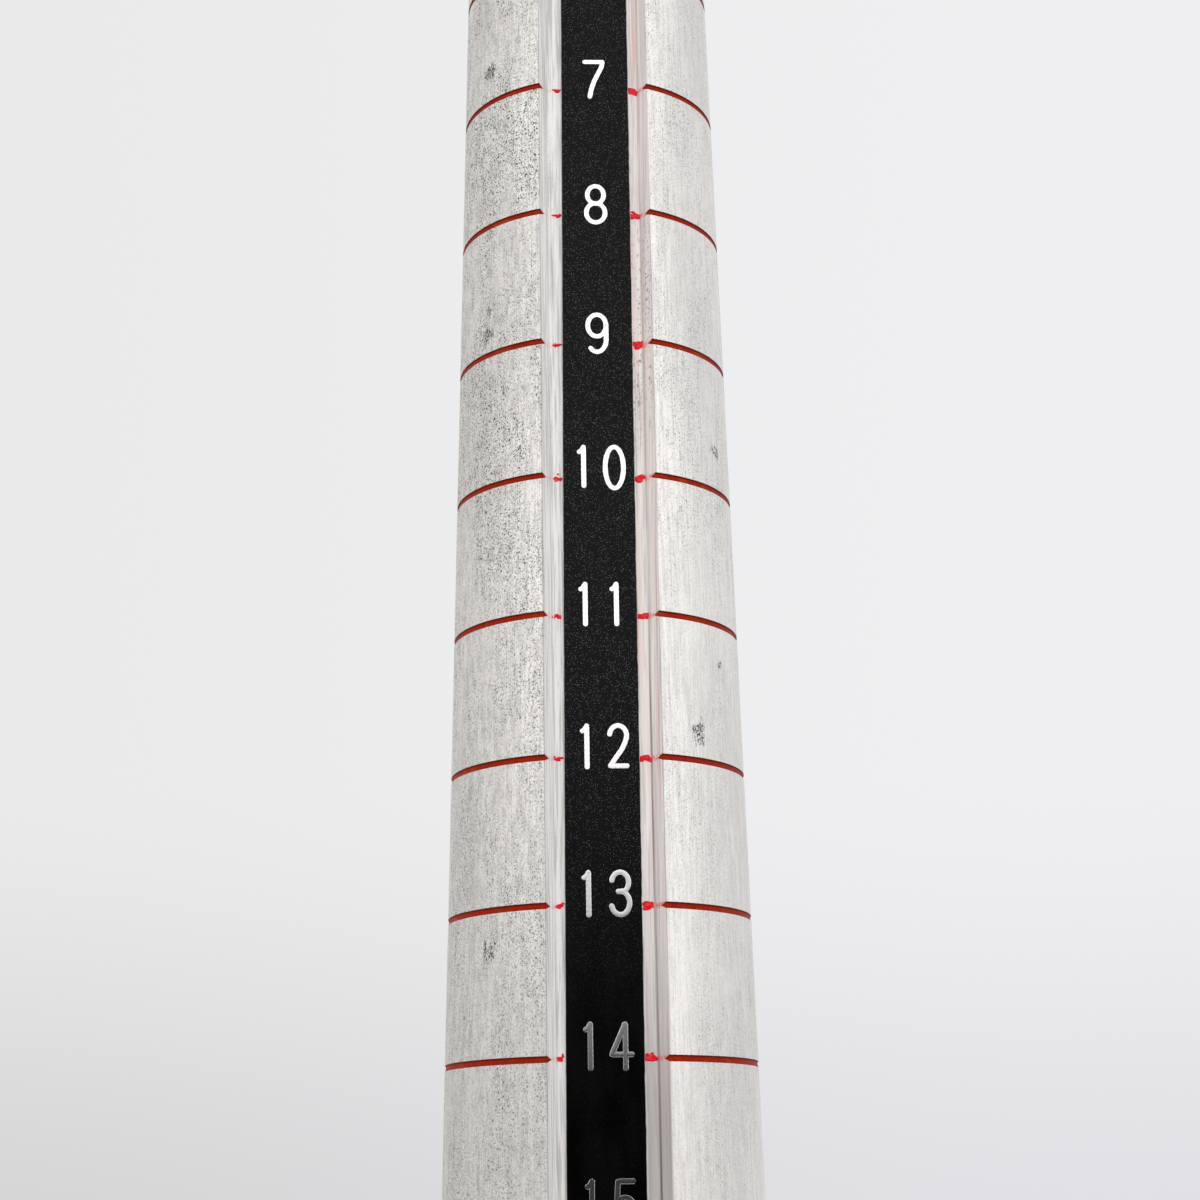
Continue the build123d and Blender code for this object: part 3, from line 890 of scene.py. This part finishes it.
def stroke_rings(path, centre_x, size, closed_path):
    """The section carried along a path of points, in metres on the strip's face.

    At an open end, the rings at each turn t of a half circle are STROKE_HALF sin t past the
    end and STROKE_HALF cos t wide.
    """
    ahead = np.gradient(path, axis=0)
    if closed_path:
        ahead[0] = ahead[-1] = path[1] - path[-2]
    ahead = ahead / np.hypot(ahead[:, 0], ahead[:, 1])[:, None]
    half = np.full(len(path), STROKE_HALF)
    if not closed_path:
        past = STROKE_HALF * np.sin(END_TURN)[:, None]
        path = np.concatenate([path[0] - ahead[0] * past, path, path[-1] + ahead[-1] * past[::-1]])
        ahead = np.concatenate([0 * past + ahead[0], ahead, 0 * past + ahead[-1]])
        tapered = STROKE_HALF * np.cos(END_TURN)
        half = np.concatenate([tapered, half, tapered[::-1]])
    travelled = np.arange(len(path)) * PATH_STEP
    waver = 0.035 * np.sin(travelled * 23 + size) + 0.03 * np.sin(travelled * 61 + 2 * size)
    half = half * (1 + waver)
    side = np.stack([ahead[:, 1], -ahead[:, 0]], axis=-1)
    reach = half[:, None] * PROFILE[None, :, 0]
    x = centre_x + (path[:, None, 0] + side[:, None, 0] * reach) * MM
    z = float(line_z(size)) + (path[:, None, 1] + side[:, None, 1] * reach) * MM
    lift = STRIP_TOP + PROFILE[None, :, 1] * MM
    y = -(taper_radius(z) - SLOT_DEPTH + lift)
    return np.stack([x, y, z], axis=-1)[:, ::-1]


# %% Every numeral on the strip
NUMERAL_DRIFT = 0.0186
DRIFT_START = (7, 0.08)
DRIFT_END = 17


def numeral_centre(size):
    """Middle of the numerals at a size: they drift along a straight line up to size 17."""
    start_size, start_x = DRIFT_START
    return (start_x - NUMERAL_DRIFT * (min(size, DRIFT_END) - start_size)) * MM


stroke_stacks = []
for size in range(1, SIZE_COUNT + 1):
    text = str(size)
    for place_index, character in enumerate(text):
        shift = NUMERAL_GAP * (2 * place_index - (len(text) - 1)) * MM
        for path in DIGITS[character]:
            closed_path = bool(np.hypot(*(path[0] - path[-1])) < 0.01)
            rings = stroke_rings(path, numeral_centre(size) + shift, size, closed_path)
            stroke_stacks.append(rings)
print("strokes:", len(stroke_stacks))

# %% [markdown]
# The bare metal in the cuts is nearly a mirror, with faint cutter marks. That is why the
# numerals are white where they mirror the bright light above and grey where they mirror
# the dark lower front of the studio.

# %% Numeral finish and piece
numeral_white, tree, shader, place = new_finish(
    "engraved_numerals", {"Base Color": (0.95, 0.94, 0.94, 1), "Metallic": 1.0,
                          "Roughness": 0.12})
cutter_marks = grain(tree, place, (9000, 9000, 9000), detail=3)
worn_white = blend_colours(tree, between(tree, cutter_marks, 0.52, 0.72, 0, 0.5),
                           (0.98, 0.97, 0.97, 1), (0.70, 0.70, 0.71, 1))
tree.links.new(worn_white, shader.inputs["Base Color"])
relief(tree, shader, cutter_marks, 0.0008 * MM)
build_piece("numerals", stroke_stacks, numeral_white, ["size_numerals"],
            sharp=25)

# %% [markdown]
# ## Paint that missed the lines
#
# The brush went right across the slot, and the wiping left small crimson blots on its
# floor beside the strip, at both ends of every line. Each is a low dome with an uneven
# edge. A fixed seed draws them, so that every run gives the same blots.

# %% Blots beside the strip
BLOT_RINGS = 5
BLOT_SIDES = 18
BLOT_TOP = 0.12
draw = np.random.default_rng(7)


def blot(x, z, wide, high, lift):
    """A dome of uneven outline: its radius varies round it by a few random waves."""
    angle = np.linspace(0, 2 * math.pi, BLOT_SIDES, endpoint=False)
    phases = draw.uniform(0, 2 * math.pi, 4)
    edge = 1 + sum(0.30 / (k + 1) * np.sin((k + 2) * angle + phases[k]) for k in range(4))
    inwards = np.linspace(1, BLOT_TOP, BLOT_RINGS)[:, None]
    reach = inwards * edge[None, :]
    blot_x = x + wide * reach * np.cos(angle)
    blot_z = z + high * reach * np.sin(angle)
    dome = np.sqrt(1 - inwards**2)
    y = -(taper_radius(blot_z) - SLOT_DEPTH + lift * (dome - 0.15))
    return np.stack([blot_x, y, blot_z], axis=-1)


# %% Draw the blots at every line
blots = []
for size in range(1, SIZE_COUNT + 1):
    z = float(line_z(size))
    left_x = float(smooth_edge(z, LEFT_EDGE))
    right_x = float(smooth_edge(z, RIGHT_EDGE))
    for edge_x, side, amount in ((left_x, -1, 0.7), (right_x, 1, 1.2)):
        for index in range(int(draw.integers(4, 7))):
            away = draw.uniform(0.08, 0.60) * MM * side
            rise = draw.normal(0.08, 0.09) * MM
            wide = draw.uniform(0.06, 0.19) * amount * MM
            high = draw.uniform(0.06, 0.14) * amount * MM
            blots.append(blot(edge_x + away, z + rise, wide, high, 0.03 * MM))
        blots.append(blot(edge_x + 0.28 * side * MM, z + 0.06 * MM, 0.34 * amount * MM,
                          0.17 * amount * MM, 0.05 * MM))
print("blots:", len(blots))

# %% Crimson finish
blot_red, tree, shader, place = new_finish(
    "crimson_blots", {"Base Color": (0.85, 0.008, 0.020, 1), "Roughness": 0.4,
                      "Specular IOR Level": 0.2})
thin = grain(tree, place, (6000, 6000, 6000), detail=2)
crimson = blend_colours(tree, between(tree, thin, 0.42, 0.66), (0.80, 0.002, 0.012, 1),
                        (0.84, 0.05, 0.07, 1))
tree.links.new(crimson, shader.inputs["Base Color"])
relief(tree, shader, thin, 0.01 * MM)
build_piece("paint_blots", blots, blot_red, sharp=70)

# %% [markdown]
# ## The handle, the collar and the plug
#
# These are turned or moulded round, so each is a closed profile of radius and height
# carried round the axis. The handle's flutes are where a round cutter bit into it: at
# each angle the surface is the smaller of the profile and the cutter's circle, so they
# run out by themselves at the narrow ends of the grip.

# %% Round pieces
GRIP_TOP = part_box("handle_grip")[1].z
BUTT_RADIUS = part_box("handle_grip")[1].x
COLLAR_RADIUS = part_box("handle_collar")[1].x
FLUTE_COUNT = 10
FLUTE_FLOOR = 11.85 * MM
FLUTE_TOOL = 4.0 * MM
ROUND_POINTS = 240
UNCUT = 1.0


def corner(x, z, radius, start, end, steps=6):
    """Points round a corner's arc, from one angle to another in degrees."""
    angle = np.radians(np.linspace(start, end, steps))
    return [(x + radius * math.cos(a), z + radius * math.sin(a)) for a in angle]


def turned(profile, fluted=False):
    """Rings round the axis, one for each point on a profile of radius and height.

    The cutter's circle has its middle c from the axis, so at an angle a from a flute it
    reaches in to c cos a - sqrt(tool^2 - (c sin a)^2). fluted says where it may cut.
    """
    angle = np.linspace(0, 2 * math.pi, ROUND_POINTS, endpoint=False)
    turn = (angle * FLUTE_COUNT + math.pi) % (2 * math.pi) - math.pi
    off = turn / FLUTE_COUNT
    centre = FLUTE_FLOOR + FLUTE_TOOL
    inside = np.clip(FLUTE_TOOL**2 - (centre * np.sin(off))**2, 0, None)
    cutter = np.where(inside > 0, centre * np.cos(off) - np.sqrt(inside), UNCUT)
    radius = np.repeat(profile[:, :1], ROUND_POINTS, axis=1)
    fluted = np.broadcast_to(fluted, (len(profile),))[:, None]
    radius = np.where(fluted, np.minimum(radius, cutter[None, :]), radius)
    height = np.repeat(profile[:, 1:2], ROUND_POINTS, axis=1)
    return np.stack([radius * np.cos(angle), radius * np.sin(angle), height], axis=-1)


# %% [markdown]
# The handle and the plug are moulded in one black plastic, with a fine leather grain in
# the mould, a sheen where hands have polished it, and light scuffs along its length.

# %% Black plastic finish
grip_plastic, tree, shader, place = new_finish(
    "moulded_black", {"Base Color": (0.018, 0.018, 0.019, 1), "Roughness": 0.45,
                      "Specular IOR Level": 0.5})
leather_grain = grain(tree, place, (2600, 2600, 2600), detail=4)
handling = grain(tree, place, (120, 120, 60), detail=3, seed=5)
scuffs = grain(tree, place, (3000, 3000, 120), detail=2, seed=12)
plastic = blend_colours(tree, between(tree, handling, 0.35, 0.7), (0.014, 0.014, 0.015, 1),
                        (0.026, 0.026, 0.027, 1))
plastic = blend_colours(tree, between(tree, scuffs, 0.66, 0.74, 0, 0.35), plastic,
                        (0.10, 0.10, 0.10, 1))
tree.links.new(plastic, shader.inputs["Base Color"])
tree.links.new(between(tree, handling, 0.3, 0.7, 0.52, 0.36), shader.inputs["Roughness"])
relief(tree, shader, leather_grain, 0.04 * MM, strength=0.7)
print("plastic finish:", len(tree.nodes), "nodes")

# %% [markdown]
# The profile is written in millimetres. It goes down the outside from the top land, over
# the long fluted swell to the butt land, then back up the inside: the plug's seat, the
# screw well, the screw's hole through the web, and the bore that takes the tang.

# %% The handle
GRIP_CORNER = 0.8
TOP_LAND = 12.7
TANG_BORE = 6.03
SCREW_BORE = 2.75
WELL = 5.5
PLUG_SEAT = 8.03
SEAT_TOP = 2.5
WEB_BOTTOM = 20
WEB_TOP = 28
WAIST = 11.6
SWELL_RISE = 1.0
SWELL_TOP = 84
SWELL_BOTTOM = 18
top_mm = GRIP_TOP / MM
butt_mm = BUTT_RADIUS / MM
swell_share = np.linspace(0, 1, 45)
swell = np.stack([WAIST + SWELL_RISE * np.sin(math.pi * swell_share),
                  SWELL_TOP - (SWELL_TOP - SWELL_BOTTOM) * swell_share], axis=-1)
grip_profile = [(TANG_BORE, top_mm), (TOP_LAND - GRIP_CORNER, top_mm)]
grip_profile += corner(TOP_LAND - GRIP_CORNER, top_mm - GRIP_CORNER, GRIP_CORNER, 90, 0)
grip_profile += [(TOP_LAND, 93.0), (TOP_LAND, 89.35), (12.62, 88.75)]
grip_profile += swell.tolist()
grip_profile += [(12.88, 12.6), (butt_mm, 11.9), (butt_mm, 6.0)]
grip_profile += corner(butt_mm - GRIP_CORNER, GRIP_CORNER, GRIP_CORNER, 0, -90)
grip_profile += [(8.3, 0.0), (PLUG_SEAT, 0.25), (PLUG_SEAT, SEAT_TOP), (WELL, SEAT_TOP),
                 (WELL, WEB_BOTTOM), (SCREW_BORE, WEB_BOTTOM), (SCREW_BORE, WEB_TOP),
                 (TANG_BORE, WEB_TOP)]
grip_profile = np.array(grip_profile)
fluted = ((grip_profile[:, 1] > SWELL_BOTTOM) & (grip_profile[:, 1] < SWELL_TOP)
          & (grip_profile[:, 0] > 10))
build_piece("grip", [turned(grip_profile * MM, fluted)], grip_plastic,
            ["handle_grip"], looped=True, sharp=32)

# %% [markdown]
# The collar was turned on a lathe, so its grain runs round it: the noise is fine along
# the axis and coarse the other two ways. Its outer corners are large and round, where a
# ring that slides down past the last size would stop.

# %% Collar finish and piece
COLLAR_CORNER = 1.2
turned_metal, tree, shader, place = new_finish(
    "turned_aluminium", {"Metallic": 1.0, "Base Color": (0.82, 0.81, 0.80, 1),
                         "Roughness": 0.32})
tool_lines = grain(tree, place, (40, 40, 14000), detail=2)
tone = grain(tree, place, (500, 500, 500), detail=3, seed=2)
lined = blend_colours(tree, between(tree, tool_lines, 0.35, 0.7, 0, 0.4),
                      (0.84, 0.83, 0.82, 1), (0.62, 0.62, 0.62, 1))
tree.links.new(lined, shader.inputs["Base Color"])
tree.links.new(between(tree, tone, 0.3, 0.7, 0.26, 0.42), shader.inputs["Roughness"])
relief(tree, shader, tool_lines, 0.008 * MM)

collar_mm = COLLAR_RADIUS / MM
collar_flat = collar_mm - COLLAR_CORNER
collar_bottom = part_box("handle_collar")[0].z / MM
collar_top = BASE_Z / MM
collar_profile = [(TANG_BORE, collar_top), (9.0, collar_top), (collar_flat, collar_top)]
collar_profile += corner(collar_flat, collar_top - COLLAR_CORNER, COLLAR_CORNER, 90, 0, 9)
collar_profile += [(collar_mm, (collar_top + collar_bottom) / 2)]
collar_profile += corner(collar_flat, collar_bottom + COLLAR_CORNER, COLLAR_CORNER, 0, -90, 9)
collar_profile += [(9.0, collar_bottom), (TANG_BORE, collar_bottom)]
build_piece("collar", [turned(np.array(collar_profile) * MM)], turned_metal,
            ["handle_collar"], looped=True, sharp=40)

# %% [markdown]
# The plug is a disc that sits just inside the butt, with a groove round its face, a dimple
# in its middle where the mould was filled, and a thin skirt that grips the screw well.

# %% The plug
plug_skirt = [(5.47, 9.0), (5.47, SEAT_TOP)]
plug_face = [(8.0, SEAT_TOP), (8.0, 0.6), (7.7, 0.3), (5.6, 0.3), (5.35, 0.42), (5.1, 0.3),
             (1.1, 0.3), (0.9, 0.45), (0.2, 0.45)]
plug_inside = [(0.2, SEAT_TOP), (4.3, SEAT_TOP), (4.3, 9.0)]
plug_plastic = grip_plastic.copy()
plug_plastic.name = "moulded_plug"
build_piece("plug", [turned(np.array(plug_skirt + plug_face + plug_inside) * MM)],
            plug_plastic, ["butt_plug"], looped=True, sharp=32)

# %% [markdown]
# ## The pieces inside
#
# The screw, its washers and the adhesive film keep their CAD meshes. They are hidden in
# the assembled tool, but they are seen when it is taken apart, so they get finishes too.

# %% Finishes for the pieces inside
zinc, tree, shader, place = new_finish(
    "zinc_plated_steel", {"Metallic": 1.0, "Base Color": (0.62, 0.63, 0.62, 1),
                          "Roughness": 0.30})
crystals = grain(tree, place, (1800, 1800, 1800), detail=3)
plating = blend_colours(tree, between(tree, crystals, 0.3, 0.7), (0.66, 0.66, 0.63, 1),
                        (0.50, 0.52, 0.54, 1))
tree.links.new(plating, shader.inputs["Base Color"])
tree.links.new(between(tree, crystals, 0.3, 0.7, 0.24, 0.40), shader.inputs["Roughness"])
relief(tree, shader, crystals, 0.01 * MM)

film_finish, tree, shader, place = new_finish(
    "adhesive_film", {"Base Color": (0.42, 0.38, 0.32, 1), "Roughness": 0.55})
fibres = grain(tree, place, (5000, 5000, 900), detail=3)
film_colour = blend_colours(tree, between(tree, fibres, 0.35, 0.7), (0.48, 0.44, 0.38, 1),
                            (0.30, 0.27, 0.23, 1))
tree.links.new(film_colour, shader.inputs["Base Color"])
relief(tree, shader, fibres, 0.01 * MM)

inner_finishes = {"handle_screw": zinc, "spring_washer": zinc, "plain_washer": zinc,
                  "strip_adhesive": film_finish}
for node, finish in inner_finishes.items():
    mesh = frame["nodes"][node].data
    mesh.materials.clear()
    mesh.materials.append(finish)
print("finishes on:", sorted(inner_finishes))

# %% [markdown]
# ## The studio
#
# The tool stands on a wide pale floor in soft light from all round, a little stronger
# from its right and from above. What metal looks like is mostly what it reflects, so the
# light that falls on it is bright above and dark low down in front, as it is where a
# person stands before it, while the backdrop itself stays plain and pale.

# %% Floor
FLOOR_HALF = 3.0
FLOOR_Z = -0.1 * MM
floor_mesh = bpy.data.meshes.new("studio_floor")
floor_mesh.from_pydata([(-FLOOR_HALF, -FLOOR_HALF, FLOOR_Z), (FLOOR_HALF, -FLOOR_HALF, FLOOR_Z),
                        (FLOOR_HALF, FLOOR_HALF, FLOOR_Z), (-FLOOR_HALF, FLOOR_HALF, FLOOR_Z)],
                       [], [(0, 1, 2, 3)])
floor = bpy.data.objects.new("studio_floor", floor_mesh)
bpy.context.scene.collection.objects.link(floor)
floor_finish = new_finish("pale_paper", {"Base Color": (0.82, 0.82, 0.82, 1), "Roughness": 0.9})
floor_mesh.materials.append(floor_finish[0])
print("floor:", 2 * FLOOR_HALF, "m wide")

# %% [markdown]
# The world's colour depends only on the direction that light comes from: its X is to the
# right, minus Y is towards the front, and Z is up. One set of colours is what the camera
# sees behind the tool, and the other is what lights it.

# %% Surrounding light
BACKDROP_LOW = ((0.645, 0.645, 0.65, 1), (0.745, 0.74, 0.775, 1))
BACKDROP_HIGH = ((0.82, 0.82, 0.825, 1), (0.865, 0.865, 0.88, 1))
AROUND = ((0.80, 0.79, 0.775, 1), (0.86, 0.86, 0.87, 1))
BRIGHT_ABOVE = (1.24, 1.21, 1.19, 1)
DARK_FRONT = (0.012, 0.012, 0.012, 1)
world = bpy.data.worlds.new("studio")
bpy.context.scene.world = world
world.use_nodes = True
tree = world.node_tree
direction = split_axes(tree, add_node(tree, "ShaderNodeTexCoord").outputs["Generated"])
sideways = between(tree, direction["X"], -0.25, 0.25)
backdrop = blend_colours(tree, between(tree, direction["Z"], -0.04, 0.18),
                         blend_colours(tree, sideways, *BACKDROP_LOW),
                         blend_colours(tree, sideways, *BACKDROP_HIGH))
forwards = combine(tree, "MULTIPLY", direction["Y"], -1.0)
around = blend_colours(tree, between(tree, direction["X"], -0.8, 0.9), *AROUND)
above = combine(tree, "MULTIPLY", between(tree, forwards, 0.45, 0.90),
                between(tree, direction["Z"], 0.10, 0.30))
around = blend_colours(tree, above, around, BRIGHT_ABOVE)
shade = combine(tree, "MULTIPLY", between(tree, forwards, 0.80, 0.97),
                between(tree, direction["Z"], 0.085, 0.225, 1.0, 0.0))
around = blend_colours(tree, shade, around, DARK_FRONT)
seen = add_node(tree, "ShaderNodeLightPath").outputs["Is Camera Ray"]
light = blend_colours(tree, seen, around, backdrop)
tree.links.new(light, tree.nodes["Background"].inputs["Color"])
print("surrounding light:", len(tree.nodes), "nodes")

# %% Two soft lamps
LAMP_TARGET = (0, 0, 0.23)
LAMP_WATTS = 1.2


def soft_lamp(name, place, width):
    """A square lamp of a width in metres at a place, turned to face the middle of the scale."""
    lamp = bpy.data.lights.new(name, "AREA")
    lamp.size = width
    lamp.energy = LAMP_WATTS
    holder = bpy.data.objects.new(name, lamp)
    bpy.context.scene.collection.objects.link(holder)
    holder.location = place
    aim = Vector(LAMP_TARGET) - Vector(place)
    holder.rotation_euler = aim.to_track_quat("-Z", "Y").to_euler()
    print(f"{name}: {aim.length:.2f} m away")


soft_lamp("key_lamp", (0.75, -0.60, 0.60), 0.6)
soft_lamp("fill_lamp", (-0.7, -0.6, 0.75), 0.7)

# %% [markdown]
# ## The camera
#
# The camera is close, only 132 mm from the axis, at about the height of size 15 and
# tilted up the taper, so the lines above it arch and the ones level with it are straight.

# %% Camera
CAMERA_DISTANCE = 132.24 * MM
CAMERA_HEIGHT = float(line_z(11)) - 31.35 * MM
CAMERA_SIDE = math.radians(-2.538)
CAMERA_TURN = math.radians(-0.125)
CAMERA_TILT = math.radians(14.441)
CAMERA_ROLL = math.radians(-0.857)
SENSOR_WIDTH = 36
LENS = 70.44
NEAREST = 0.005
heading = CAMERA_SIDE + CAMERA_TURN
level = Vector((-math.sin(heading), math.cos(heading), 0))
right_hand = Vector((math.cos(heading), math.sin(heading), 0))
up = Vector((0, 0, 1))
forward = level * math.cos(CAMERA_TILT) + up * math.sin(CAMERA_TILT)
upright = up * math.cos(CAMERA_TILT) - level * math.sin(CAMERA_TILT)
camera_right = right_hand * math.cos(CAMERA_ROLL) + upright * math.sin(CAMERA_ROLL)
camera_up = upright * math.cos(CAMERA_ROLL) - right_hand * math.sin(CAMERA_ROLL)
camera_data = bpy.data.cameras.new("camera")
camera_data.sensor_width = SENSOR_WIDTH
camera_data.lens = LENS
camera_data.clip_start = NEAREST
camera = bpy.data.objects.new("camera", camera_data)
bpy.context.scene.collection.objects.link(camera)
camera_axes = Matrix((camera_right, camera_up, -forward)).transposed()
camera_place = (CAMERA_DISTANCE * math.sin(CAMERA_SIDE),
                -CAMERA_DISTANCE * math.cos(CAMERA_SIDE), CAMERA_HEIGHT)
camera.matrix_world = Matrix.Translation(camera_place) @ camera_axes.to_4x4()
bpy.context.scene.camera = camera
bpy.context.scene.view_settings.view_transform = "Standard"
print("camera at", [round(v, 4) for v in camera.matrix_world.to_translation()])
